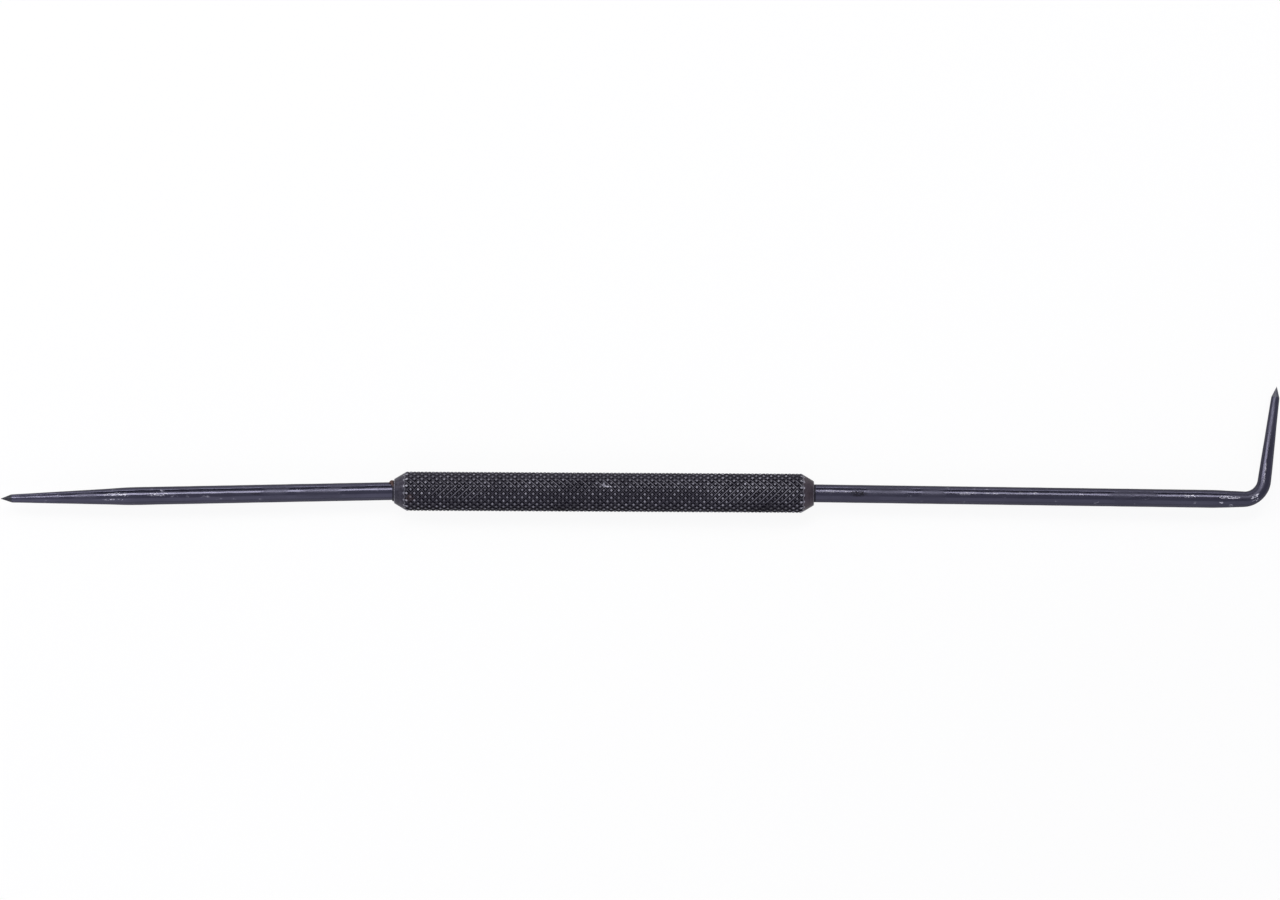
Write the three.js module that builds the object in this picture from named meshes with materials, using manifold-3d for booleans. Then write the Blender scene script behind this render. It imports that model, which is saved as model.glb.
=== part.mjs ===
// Double-ended scriber, for marking out lines on metal.
//
// A diamond-knurled steel grip holds two hardened steel needles, each pressed into a blind hole
// drilled into one end. One needle is straight. The other is the same kind of needle with its
// tapered end bent nearly square, to reach inside holes and behind edges.
//
// Millimetres. X runs along the grip towards the bent needle, Z is up, and Y is the way the hook
// points as the tool lies on a bench: on the knurl and on the shoulder of the hook's point.
// The origin is the middle of the tool's footprint, at the height of the bench.

import * as THREE from "three";
import { mergeVertices } from "three/addons/utils/BufferGeometryUtils.js";
import Module from "manifold-3d";

const DEGREE = Math.PI / 180;

// The grip
const GRIP_LENGTH = 82;
const GRIP_DIAMETER = 7.7; // over the points of the knurl
const KNURL_PITCH = 1.45; // point to point along the grip
const KNURL_STARTS = 16; // grooves round the grip, in each hand
const KNURL_DEPTH = 0.36; // from the points to the bottom of the grooves
const CHAMFER_ANGLE = 31 * DEGREE; // from the axis
const RIM_WIDTH = 0.55; // the flat ring left round each hole's mouth

// The needles
const NEEDLE_DIAMETER = 3.5;
const POINT_ANGLE = 40 * DEGREE; // included angle of the ground points
const SHOULDER_DIAMETER = 1.6; // where the ground point meets the taper
const LEAD_IN = 0.4; // chamfer on the end that is pressed in

// How the needles sit in the grip
const PRESS_DEPTH = 22;
const PRESS_CLEARANCE = 0.05; // drawn all round each pressed shank
const FLOOR_CLEARANCE = 0.3; // from the shank's end to where the drill's cone starts
const DRILL_ANGLE = 118 * DEGREE;
const DRILL_START = 2; // the drill's shape begins this far outside the mouth

// The straight needle
const STRAIGHT_REACH = 76.9; // mouth of the hole to the point
const STRAIGHT_TAPER = 24;
const STRAIGHT_LEAN = 1.43 * DEGREE; // off the grip's axis, away from the hook's side

// The bent needle
const BENT_REACH = 87.5; // mouth of the hole to the corner of the two centre lines
const HOOK_LENGTH = 22.6; // corner of the centre lines to the point
const HOOK_ANGLE = 82.9 * DEGREE; // turned through by the bend
const BENT_TAPER = 29.5; // runs round the bend
const BENT_LEAN = 0.5 * DEGREE; // off the grip's axis, away from the hook's side
const BEND_RADIUS = 4; // of the centre line

// How finely round things are divided
const NEEDLE_SIDES = 32;
const CHAMFER_SIDES = 4 * KNURL_STARTS;
const BEND_STEPS = 14;

const gripRadius = GRIP_DIAMETER / 2;
const grooveRadius = gripRadius - KNURL_DEPTH;
const needleRadius = NEEDLE_DIAMETER / 2;
const shoulderRadius = SHOULDER_DIAMETER / 2;
const pointLength = shoulderRadius / Math.tan(POINT_ANGLE / 2);
const holeRadius = needleRadius + PRESS_CLEARANCE;
const rimRadius = holeRadius + RIM_WIDTH;

const blackenedSteel = new THREE.MeshStandardMaterial({
  name: "blackened_steel",
  color: 0x2b2930,
  metalness: 0.85,
  roughness: 0.5,
});
const bluedSteel = new THREE.MeshStandardMaterial({
  name: "blued_steel",
  color: 0x3b3948,
  metalness: 0.9,
  roughness: 0.32,
});

const wasm = await Module();
wasm.setup();

function toSolid(geometry) {
  const bare = geometry.clone();
  bare.deleteAttribute("normal");
  bare.deleteAttribute("uv");
  const merged = mergeVertices(bare, 1e-4);
  return new wasm.Manifold(
    new wasm.Mesh({
      numProp: 3,
      vertProperties: merged.attributes.position.array,
      triVerts: new Uint32Array(merged.index.array),
    }),
  );
}

function toGeometry(solid) {
  const mesh = solid.getMesh();
  const geometry = new THREE.BufferGeometry();
  geometry.setAttribute("position", new THREE.BufferAttribute(mesh.vertProperties, 3));
  geometry.setIndex(new THREE.BufferAttribute(mesh.triVerts, 1));
  geometry.computeVertexNormals();
  return geometry;
}

// A solid turned about the X axis. Its profile lists [x, radius], from the axis back to the axis.
function turned(profile, sides) {
  const points = profile.map(([x, radius]) => new THREE.Vector2(radius, x));
  return new THREE.LatheGeometry(points, sides).rotateZ(-Math.PI / 2);
}

// A bar with right- and left-hand grooves rolled into it. The grooves cross at every other point
// of a lattice, and the points between the crossings stand up as four-sided pyramids.
function knurledBar(length) {
  const around = 2 * KNURL_STARTS;
  const step = KNURL_PITCH / 2;
  const rings = 2 * Math.ceil(length / KNURL_PITCH) + 2;
  const start = (-rings / 2) * step;
  const positions = [];
  for (let i = 0; i <= rings; i++) {
    for (let j = 0; j < around; j++) {
      const radius = (i + j) % 2 === 1 ? gripRadius : grooveRadius;
      const angle = (j / around) * 2 * Math.PI;
      positions.push(start + i * step, radius * Math.cos(angle), radius * Math.sin(angle));
    }
  }
  const at = (i, j) => i * around + (j % around);
  const triangles = [];
  for (let i = 0; i < rings; i++) {
    for (let j = 0; j < around; j++) {
      const [a, b, c, d] = [at(i, j), at(i + 1, j), at(i + 1, j + 1), at(i, j + 1)];
      // each cell is folded along the groove, which joins its two low corners
      if ((i + j) % 2 === 0) triangles.push(a, c, b, a, d, c);
      else triangles.push(a, d, b, b, d, c);
    }
  }
  const nearCentre = positions.push(start, 0, 0) / 3 - 1;
  const farCentre = positions.push(start + rings * step, 0, 0) / 3 - 1;
  for (let j = 0; j < around; j++) {
    triangles.push(nearCentre, at(0, j + 1), at(0, j));
    triangles.push(farCentre, at(rings, j), at(rings, j + 1));
  }
  const bar = new THREE.BufferGeometry();
  bar.setAttribute("position", new THREE.Float32BufferAttribute(positions, 3));
  bar.setIndex(triangles);
  return bar;
}

// What turning the ends leaves: flat end faces and a long chamfer that cuts through the knurl.
function endEnvelope() {
  const half = GRIP_LENGTH / 2;
  const outside = gripRadius + KNURL_DEPTH; // clear of the knurl's points
  const chamfer = (outside - rimRadius) / Math.tan(CHAMFER_ANGLE);
  return turned(
    [
      [-half, 0],
      [-half, rimRadius],
      [-half + chamfer, outside],
      [half - chamfer, outside],
      [half, rimRadius],
      [half, 0],
    ],
    CHAMFER_SIDES,
  );
}

// The drill's shape, along the needle that goes in: the mouth of the hole is at x = 0.
function drilledHole() {
  const floor = -(PRESS_DEPTH + FLOOR_CLEARANCE);
  const cone = holeRadius / Math.tan(DRILL_ANGLE / 2);
  return turned(
    [
      [floor - cone, 0],
      [floor, holeRadius],
      [DRILL_START, holeRadius],
      [DRILL_START, 0],
    ],
    NEEDLE_SIDES,
  );
}

// A straight needle from its pressed end to its point, with extra rings where it will be bent.
function needleBlank(length, taper, bend) {
  const shoulder = length - pointLength;
  const taperStart = shoulder - taper;
  const radiusAt = (x) =>
    THREE.MathUtils.mapLinear(Math.max(x, taperStart), taperStart, shoulder, needleRadius, shoulderRadius);
  const rings = [-PRESS_DEPTH + LEAD_IN, taperStart, shoulder];
  if (bend) {
    for (let i = 0; i <= BEND_STEPS; i++) {
      rings.push(bend.start + (i / BEND_STEPS) * bend.angle * bend.radius);
    }
  }
  rings.sort((a, b) => a - b);
  return turned(
    [
      [-PRESS_DEPTH, 0],
      [-PRESS_DEPTH, needleRadius - LEAD_IN],
      ...rings.map((x) => [x, radiusAt(x)]),
      [length, 0],
    ],
    NEEDLE_SIDES,
  );
}

// Bends what lies past bend.start round an arc, towards +Y.
function bent(geometry, bend) {
  const position = geometry.attributes.position;
  const arc = bend.angle * bend.radius;
  for (let i = 0; i < position.count; i++) {
    const along = position.getX(i) - bend.start;
    if (along <= 0) continue;
    const turn = Math.min(along, arc) / bend.radius;
    const beyond = Math.max(along - arc, 0);
    const inwards = bend.radius - position.getY(i);
    position.setXY(
      i,
      bend.start + inwards * Math.sin(turn) + beyond * Math.cos(turn),
      bend.radius - inwards * Math.cos(turn) + beyond * Math.sin(turn),
    );
  }
  return geometry;
}

// The bend, and the straight length that it takes to reach the corner and then the point.
const cornerToBend = BEND_RADIUS * Math.tan(HOOK_ANGLE / 2);
const hookBend = { start: BENT_REACH - cornerToBend, radius: BEND_RADIUS, angle: HOOK_ANGLE };
const bentBlankLength = hookBend.start + HOOK_ANGLE * BEND_RADIUS + HOOK_LENGTH - cornerToBend;

// Each needle's frame has its origin at the mouth of its hole, with X out along the needle.
const straightFrame = new THREE.Matrix4()
  .makeTranslation(-GRIP_LENGTH / 2, 0, 0)
  .multiply(new THREE.Matrix4().makeRotationZ(Math.PI + STRAIGHT_LEAN));
const bentFrame = new THREE.Matrix4()
  .makeTranslation(GRIP_LENGTH / 2, 0, 0)
  .multiply(new THREE.Matrix4().makeRotationZ(-BENT_LEAN));

// The grip and both needles are drawn in one plane. Lying on a bench, on two rows of the knurl's
// points, the tool rolls about the grip's axis until the shoulder of the hook's point comes down too.
const halfRow = Math.PI / (2 * KNURL_STARTS);
const axisHeight = gripRadius * Math.cos(halfRow);

function restingRoll() {
  const toShoulder = HOOK_LENGTH - pointLength;
  const sideways = toShoulder * Math.sin(HOOK_ANGLE - BENT_LEAN) - BENT_REACH * Math.sin(BENT_LEAN);
  const shoulderDistance = Math.hypot(sideways, shoulderRadius);
  return Math.asin(axisHeight / shoulderDistance) - Math.atan2(shoulderRadius, sideways);
}

// The knurl is turned so that two rows of its points are lowest once the tool has rolled.
function gripSolid() {
  const straightHole = toSolid(drilledHole().applyMatrix4(straightFrame));
  const bentHole = toSolid(drilledHole().applyMatrix4(bentFrame));
  return toSolid(knurledBar(GRIP_LENGTH).rotateX(restingRoll() + halfRow))
    .intersect(toSolid(endEnvelope()))
    .subtract(straightHole)
    .subtract(bentHole);
}

function piece(name, geometry, material) {
  const mesh = new THREE.Mesh(geometry, material);
  mesh.name = name;
  return mesh;
}

const grip = piece("grip", toGeometry(gripSolid()), blackenedSteel);

const straightNeedle = piece(
  "straight_needle",
  needleBlank(STRAIGHT_REACH, STRAIGHT_TAPER),
  bluedSteel,
);
straightNeedle.applyMatrix4(straightFrame);

const bentNeedle = piece(
  "bent_needle",
  bent(needleBlank(bentBlankLength, BENT_TAPER, hookBend), hookBend),
  bluedSteel,
);
bentNeedle.applyMatrix4(bentFrame);

const scriber = new THREE.Group();
scriber.add(grip, straightNeedle, bentNeedle);
scriber.rotation.x = -restingRoll();
const footprint = new THREE.Box3().setFromObject(scriber, true);
const middle = footprint.getCenter(new THREE.Vector3());
scriber.position.set(-middle.x, -middle.y, -footprint.min.z);

export default scriber;
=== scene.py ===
import math
from typing import NamedTuple

import bpy
import numpy as np
from bpy.props import FloatProperty, FloatVectorProperty, IntProperty, PointerProperty
from mathutils import Matrix, Vector


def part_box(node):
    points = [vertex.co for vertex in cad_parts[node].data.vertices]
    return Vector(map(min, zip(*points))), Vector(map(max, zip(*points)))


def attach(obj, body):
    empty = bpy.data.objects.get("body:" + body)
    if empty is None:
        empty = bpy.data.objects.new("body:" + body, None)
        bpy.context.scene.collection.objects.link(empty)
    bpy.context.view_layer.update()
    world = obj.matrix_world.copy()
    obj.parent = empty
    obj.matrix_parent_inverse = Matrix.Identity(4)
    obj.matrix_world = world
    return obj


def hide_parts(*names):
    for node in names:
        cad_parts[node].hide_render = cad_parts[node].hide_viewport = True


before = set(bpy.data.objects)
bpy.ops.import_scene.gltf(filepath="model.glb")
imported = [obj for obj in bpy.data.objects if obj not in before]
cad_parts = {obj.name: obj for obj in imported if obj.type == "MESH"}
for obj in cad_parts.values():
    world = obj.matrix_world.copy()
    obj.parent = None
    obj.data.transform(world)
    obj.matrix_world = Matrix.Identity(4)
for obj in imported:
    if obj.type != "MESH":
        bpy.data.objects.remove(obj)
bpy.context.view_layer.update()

bl_info = {
    "name": "Double-ended Scriber",
    "version": (1, 0, 0),
    "blender": (4, 5, 0),
    "location": "View3D > Sidebar > Scriber",
    "description": "Dresses a knurled double-ended scriber and sets it in a plain studio",
    "category": "Object",
}

MM = 0.001
GRIP_LOW, GRIP_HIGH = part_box("grip")
GRIP_MIDDLE = (GRIP_LOW + GRIP_HIGH) / 2

# The photograph: its size and scale in pixels, and the pixels that show the grip's middle and its marks
PHOTO_WIDTH = 1280
PHOTO_HEIGHT = 900
PHOTO_PIXELS_PER_METRE = 5120
PHOTO_GRIP_MIDDLE = (604.0, 492.2)
PHOTO_RUST_ON_KNURL = (410.0, 498.0)
PHOTO_RUST_ON_CHAMFER = (810.5, 494.5)
PHOTO_SCRATCH_ON_KNURL = ((603.6, 484.2), (605.2, 485.2), (606.8, 486.1), (608.4, 486.2), (610.0, 485.9))
PHOTO_PIT_ON_KNURL = (795.3, 502.5)

# Where the photograph shows bright scratches on the needles. Each is (millimetres from the mouth,
# place across the needle from its upper edge at -1 to its lower edge at 1, length, width, strength).
# Past the bend, the bent needle's upper edge has become its left one.
STRAIGHT_SCRATCHES = (
    (36.9, 0.2, 2.0, 0.5, 0.4),
    (45.2, -0.58, 1.0, 0.5, 0.7),
    (46.1, -0.1, 4.3, 0.8, 0.55),
    (54.3, -0.25, 6.0, 0.9, 0.4),
    (54.5, 0.38, 5.5, 0.35, 0.7),
)
BENT_SCRATCHES = (
    (4.6, -0.27, 6.5, 0.7, 0.13),
    (30.1, -0.19, 4.5, 0.7, 0.25),
    (34.6, -0.25, 3.5, 0.5, 0.13),
    (73.0, -0.29, 4.0, 0.7, 0.45),
    (74.2, 0.46, 0.8, 0.6, 0.6),
    (79.5, 0.36, 0.8, 0.6, 1.1),
    (80.9, -0.2, 4.5, 0.65, 1.2),
    (81.4, 0.75, 0.8, 0.6, 1.1),
    (86.1, 0.0, 1.8, 0.7, 1.4),
    (85.9, 0.5, 1.3, 0.5, 1.4),
    (91.2, -0.25, 5.0, 0.4, 0.4),
)

# One dark stain on each needle, listed the same way but without a strength
STRAIGHT_STAIN = (26.9, 0.0, 2.4, 0.35)
BENT_STAIN = (8.6, -0.03, 3.4, 1.3)

# Where the photograph shows bright lines in the knurl's grooves: painted highlights on their burnished
# bottoms, where the strip light would catch them. Each is (none before, full from, full to, none past),
# in millimetres from the grip's middle, or in radians from its hook's side over the top.
HIGHLIT_LINES_NEAR_LEFT = (-35.0, -32.0, -26.5, -22.5)
HIGHLIT_LINES_NEAR_RIGHT = (19.0, 23.0, 36.0, 39.0)
HIGHLIT_LINES_ABOVE_MIDDLE = (0.62, 0.78, 1.12, 1.26)

# The blued needles reflect less than clean metal where they are seen edge on.
BLUED_EDGE = (0.55, 0.55, 0.55)

# The lights. Each is (name, the studio's setting for it, share of that, width, height, place, facing,
# degrees that it is turned about the way it faces).
LIGHTS = (
    ("strip_light_left", "strip", 0.56, 1.58, 0.24, (-1.05, 0.594, 1.0), (0.0, -0.6, -1.0), -8),
    ("strip_light_right", "strip", 1.02, 0.8, 0.27, (0.06, 0.615, 1.0), (0.0, -0.6, -1.0), 28),
    ("side_light", "side", 1.0, 0.5, 0.6, (-0.8, 0.95, 1.0), (0.8, -0.95, -1.0), 0),
    ("front_light", "front", 1.0, 2.4, 1.5, (0.0, -1.3, 0.9), (0.0, 1.3, -0.9), 0),
    ("back_light", "back", 1.0, 3.2, 0.24, (0.0, 1.6, 0.13), (0.0, -1.0, 0.0), 0),
)

# The corners of the floor and of the dark cards
FLOOR = ((-3, -3, 0), (3, -3, 0), (3, 3, 0), (-3, 3, 0))
CARDS = {
    "back_card": ((-2.2, 1.8, 0.44), (2.2, 1.8, 0.44), (2.2, 1.8, 1.15), (-2.2, 1.8, 1.15)),
    "hook_card": ((0.028, 0.06, 0.25), (0.19, 0.06, 0.25), (0.19, 0.113, 0.25), (0.028, 0.125, 0.25)),
    "side_card": ((-2, -0.3, 0.5), (-2, 0.5, 0.5), (-2, 0.5, 1.25), (-2, -0.3, 1.25)),
}


# Sizes and colours that a user would change


class ScriberGrip(bpy.types.PropertyGroup):
    """Sizes of the knurled grip"""

    length: FloatProperty(
        name="Length", description="Between end faces", default=GRIP_HIGH.x - GRIP_LOW.x, unit="LENGTH"
    )
    diameter: FloatProperty(
        name="Diameter", description="Over the tops of the knurl", default=7.7 * MM, unit="LENGTH"
    )
    pitch: FloatProperty(
        name="Knurl pitch", description="Top to top along the grip", default=1.45 * MM, unit="LENGTH"
    )
    starts: IntProperty(name="Knurl starts", description="Grooves round the grip, in each hand", default=16)
    depth: FloatProperty(
        name="Knurl depth", description="Tops to groove bottoms", default=0.36 * MM, unit="LENGTH"
    )
    top_share: FloatProperty(
        name="Top width", description="Worn top of a diamond, as a share of the spacing", default=0.12
    )
    floor_share: FloatProperty(
        name="Floor width", description="Bottom of a groove, as a share of the spacing", default=0.05
    )
    chamfer_angle: FloatProperty(
        name="Chamfer angle", description="From the axis", default=math.radians(31), unit="ROTATION"
    )
    rim_diameter: FloatProperty(
        name="Rim diameter", description="Of the flat end faces", default=4.7 * MM, unit="LENGTH"
    )
    rim_rounding: FloatProperty(
        name="Rim rounding", description="Radius on the end faces' edge", default=0.13 * MM, unit="LENGTH"
    )


class ScriberNeedles(bpy.types.PropertyGroup):
    """Sizes of the two needles and how they sit in the grip"""

    diameter: FloatProperty(name="Diameter", description="Of the shank", default=3.5 * MM, unit="LENGTH")
    shoulder: FloatProperty(
        name="Shoulder", description="Diameter where the point begins", default=1.6 * MM, unit="LENGTH"
    )
    point_angle: FloatProperty(
        name="Point angle", description="Included angle", default=math.radians(40), unit="ROTATION"
    )
    press_depth: FloatProperty(
        name="Press depth", description="Length inside the grip", default=22 * MM, unit="LENGTH"
    )
    press_clearance: FloatProperty(
        name="Clearance", description="Drawn round the pressed shank", default=0.05 * MM, unit="LENGTH"
    )
    lead_in: FloatProperty(name="Lead-in", description="Pressed end", default=0.4 * MM, unit="LENGTH")
    straight_reach: FloatProperty(
        name="Straight reach", description="Mouth to point", default=76.9 * MM, unit="LENGTH"
    )
    straight_taper: FloatProperty(
        name="Straight taper", description="Length of the taper", default=24 * MM, unit="LENGTH"
    )
    straight_lean: FloatProperty(
        name="Straight lean", description="Off the grip's axis", default=math.radians(1.43), unit="ROTATION"
    )
    bent_reach: FloatProperty(
        name="Bent reach", description="Mouth to the corner of the bend", default=87.5 * MM, unit="LENGTH"
    )
    bent_taper: FloatProperty(
        name="Bent taper", description="Length round the bend", default=29.5 * MM, unit="LENGTH"
    )
    bent_lean: FloatProperty(
        name="Bent lean", description="Off the grip's axis", default=math.radians(0.5), unit="ROTATION"
    )
    hook_length: FloatProperty(
        name="Hook length", description="Corner of the bend to the point", default=22.6 * MM, unit="LENGTH"
    )
    hook_angle: FloatProperty(
        name="Hook angle", description="Turned by the bend", default=math.radians(82.9), unit="ROTATION"
    )
    bend_radius: FloatProperty(name="Bend radius", description="Centre line", default=4 * MM, unit="LENGTH")


class ScriberFinish(bpy.types.PropertyGroup):
    """Colours of the bare, blackened, blued and rusty steel"""

    blackened: FloatVectorProperty(
        name="Blackened steel", description="The grip", default=(0.0515, 0.0483, 0.0622), subtype="COLOR"
    )
    blued: FloatVectorProperty(
        name="Blued steel", description="The needles", default=(0.0565, 0.0548, 0.078), subtype="COLOR"
    )
    tinged: FloatVectorProperty(
        name="Tinged steel",
        description="The bent end's chamfer",
        default=(0.068, 0.056, 0.067),
        subtype="COLOR",
    )
    # worn steel also paints the highlights on the knurl's groove bottoms
    worn_and_highlit: FloatVectorProperty(
        name="Worn steel", description="Where it is rubbed", default=(0.258, 0.252, 0.295), subtype="COLOR"
    )
    bare: FloatVectorProperty(
        name="Bare steel", description="Bright scratches", default=(0.68, 0.67, 0.75), subtype="COLOR"
    )
    ground: FloatVectorProperty(
        name="Ground steel", description="The points", default=(0.15, 0.15, 0.175), subtype="COLOR"
    )
    rust: FloatVectorProperty(
        name="Rust", description="At the mouth and in spots", default=(0.08, 0.037, 0.028), subtype="COLOR"
    )
    # grime also paints shade on the knurl's flanks and where the needles enter the grip
    grime_and_shade: FloatVectorProperty(
        name="Grime",
        description="Oily dirt in the corners",
        default=(0.0075, 0.0064, 0.0102),
        subtype="COLOR",
    )


class ScriberStudio(bpy.types.PropertyGroup):
    """The stage, its light and the camera"""

    lens: FloatProperty(name="Lens", description="Focal length", default=300, unit="CAMERA")
    sensor: FloatProperty(name="Sensor", description="Width of the sensor", default=36, unit="CAMERA")
    camera_turn: FloatProperty(
        name="Camera turn", description="About the vertical", default=math.radians(0.306), unit="ROTATION"
    )
    surroundings: FloatProperty(name="Surroundings", description="Brightness of the room", default=0.66)
    room_colour: FloatVectorProperty(
        name="Room colour", description="Of the surroundings", default=(0.87, 0.87, 1.0), subtype="COLOR"
    )
    strip: FloatProperty(name="Strip light", description="Of the long strip behind", default=7.4)
    side: FloatProperty(name="Side light", description="Of the soft light at the left", default=2.2)
    front: FloatProperty(name="Front light", description="Of the broad light in front", default=0.5)
    back: FloatProperty(name="Back light", description="Of the low light behind", default=3.2)
    strip_colour: FloatVectorProperty(
        name="Strip colour", description="Of the strip light", default=(1.0, 1.0, 0.94), subtype="COLOR"
    )
    card_colour: FloatVectorProperty(
        name="Card colour", description="Of the dark cards", default=(0.06, 0.06, 0.11), subtype="COLOR"
    )
    floor_colour: FloatVectorProperty(
        name="Floor", description="Colour of the floor", default=(0.88, 0.88, 0.88), subtype="COLOR"
    )


# Frames: the grip's own frame has X along its axis and the hook in its XY plane


def resting_roll(scene):
    """How far the tool rolls about the grip's axis to rest on the shoulder of the hook's point."""
    needles = scene.scriber_needles
    shoulder = needles.shoulder / 2
    to_shoulder = needles.hook_length - shoulder / math.tan(needles.point_angle / 2)
    sideways = to_shoulder * math.sin(needles.hook_angle - needles.bent_lean)
    sideways -= needles.bent_reach * math.sin(needles.bent_lean)
    return math.asin(GRIP_MIDDLE.z / math.hypot(sideways, shoulder)) - math.atan2(shoulder, sideways)


def knurl_turn(scene):
    """How far the knurl is turned in the grip's frame, so that the tool lies on two rows of its tops."""
    return resting_roll(scene) + math.pi / (2 * scene.scriber_grip.starts)


def grip_frame(scene):
    return Matrix.Translation(GRIP_MIDDLE) @ Matrix.Rotation(-resting_roll(scene), 4, "X")


def straight_frame(scene):
    mouth = Matrix.Translation((-scene.scriber_grip.length / 2, 0, 0))
    turn = Matrix.Rotation(math.pi + scene.scriber_needles.straight_lean, 4, "Z")
    return grip_frame(scene) @ mouth @ turn


def bent_frame(scene):
    mouth = Matrix.Translation((scene.scriber_grip.length / 2, 0, 0))
    turn = Matrix.Rotation(-scene.scriber_needles.bent_lean, 4, "Z")
    return grip_frame(scene) @ mouth @ turn


def on_needle(needle_frame, radius, along, across):
    """The point of a needle's upper side at a place along and across it, in its own frame, in mm."""
    up = needle_frame.to_3x3().inverted() @ Vector((0, -across, math.sqrt(1 - across**2)))
    return Vector((along, up.y * radius, up.z * radius))


def off_grip_middle(scene, pixel):
    """How far along X and Y a pixel of the photograph lies from the grip's middle."""
    turn = scene.scriber_studio.camera_turn
    right = (pixel[0] - PHOTO_GRIP_MIDDLE[0]) / PHOTO_PIXELS_PER_METRE
    up = (PHOTO_GRIP_MIDDLE[1] - pixel[1]) / PHOTO_PIXELS_PER_METRE
    return right * math.cos(turn) - up * math.sin(turn), right * math.sin(turn) + up * math.cos(turn)


def seen_on_grip(scene, pixel):
    """The point of the grip's upper side that the photograph shows at this pixel, in the grip's frame."""
    x, y = off_grip_middle(scene, pixel)
    z = math.sqrt((scene.scriber_grip.diameter / 2) ** 2 - y**2)
    return Matrix.Rotation(resting_roll(scene), 4, "X") @ Vector((x, y, z))


# Mesh making


def mesh_from(name, points, faces):
    """A mesh from arrays: points is (n, 3), and faces is a list of arrays whose rows are corners."""
    mesh = bpy.data.meshes.new(name)
    mesh.from_pydata(points.tolist(), [], [row for rows in faces for row in rows.tolist()])
    mesh.update()
    return mesh


def full_circle(steps):
    return np.arange(steps) / steps * 2 * math.pi


def least_turn(a, b):
    """The turn from b to a, between minus half a turn and half a turn."""
    return (a - b + math.pi) % (2 * math.pi) - math.pi


def about_axis(x, radius, angle):
    """Points about the X axis, from numbers or arrays that fit together."""
    return np.stack(np.broadcast_arrays(x, radius * np.cos(angle), radius * np.sin(angle)), axis=-1)


def quads_between(rings, sides, closed):
    """Faces between rings that follow each other, and from the last to the first if closed."""
    ring, side = np.meshgrid(np.arange(rings if closed else rings - 1), np.arange(sides), indexing="ij")
    next_ring = (ring + 1) % rings
    next_side = (side + 1) % sides
    corners = [(ring, side), (ring, next_side), (next_ring, next_side), (next_ring, side)]
    return np.stack([r * sides + s for r, s in corners], axis=-1).reshape(-1, 4)


def tube_mesh(name, rings):
    """A closed mesh from an array of rings (ring, side, xyz). Each end closes on its ring's middle."""
    count, sides, _ = rings.shape
    points = np.vstack([rings.reshape(-1, 3), rings[0].mean(axis=0), rings[-1].mean(axis=0)])
    last = (count - 1) * sides
    around = np.arange(sides)
    beside = (around + 1) % sides
    near_fan = np.stack([np.full(sides, count * sides), beside, around], axis=-1)
    far_fan = np.stack([np.full(sides, count * sides + 1), last + around, last + beside], axis=-1)
    return mesh_from(name, points, [quads_between(count, sides, closed=False), near_fan, far_fan])


def turned_rings(profile, sides):
    """Rings about the X axis for a profile, a list of (x, radius)."""
    x, radius = np.array(profile).T
    return about_axis(x[:, None], radius[:, None], full_circle(sides))


def positions(mesh):
    flat = np.empty(len(mesh.vertices) * 3, np.float32)
    mesh.vertices.foreach_get("co", flat)
    return flat.reshape(-1, 3).astype(float)


def mark_own_place(mesh, places):
    """Keeps where each point lies in its piece's own frame, in millimetres, for the finishes to follow."""
    attribute = mesh.attributes.new("own_place", "FLOAT_VECTOR", "POINT")
    attribute.data.foreach_set("vector", (places / MM).astype(np.float32).ravel())


def add_piece(name, mesh, matrix, material, slot, *nodes):
    """Sets a mesh in the frame as a piece of the object, in the place of its CAD nodes."""
    mesh.transform(matrix)
    mesh.materials.clear()
    mesh.materials.append(material)
    piece = bpy.data.objects.new(name, mesh)
    bpy.context.scene.collection.objects.link(piece)
    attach(piece, "root")
    if nodes:
        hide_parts(*nodes)


def cut(mesh, steps):
    """The mesh after boolean steps, a list of (operation, mesh)."""
    scene = bpy.context.scene
    body = bpy.data.objects.new(mesh.name, mesh)
    scene.collection.objects.link(body)
    tools = []
    for operation, tool_mesh in steps:
        tool = bpy.data.objects.new(tool_mesh.name, tool_mesh)
        scene.collection.objects.link(tool)
        tools.append(tool)
        modifier = body.modifiers.new(operation.lower(), "BOOLEAN")
        modifier.operation = operation
        modifier.solver = "MANIFOLD"
        modifier.object = tool
    evaluated = body.evaluated_get(bpy.context.evaluated_depsgraph_get())
    result = bpy.data.meshes.new_from_object(evaluated)
    for made in [body, *tools]:
        bpy.data.objects.remove(made)
    return result


# The grip


def diamond_profile(grip):
    """Lines across one diamond, from groove to groove: each is (share of the spacing, height 0 to 1)."""
    floor = grip.floor_share / 2
    top = 0.5 - grip.top_share / 2
    foot = (floor + 0.06, 0.06)
    flank = (top - 0.17, 0.7)
    shoulder = (top - 0.08, 0.92)
    near = [(floor, 0.0), foot, flank, shoulder, (top, 1.0)]
    return near + [(1 - share, height) for share, height in reversed(near)]


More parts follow.
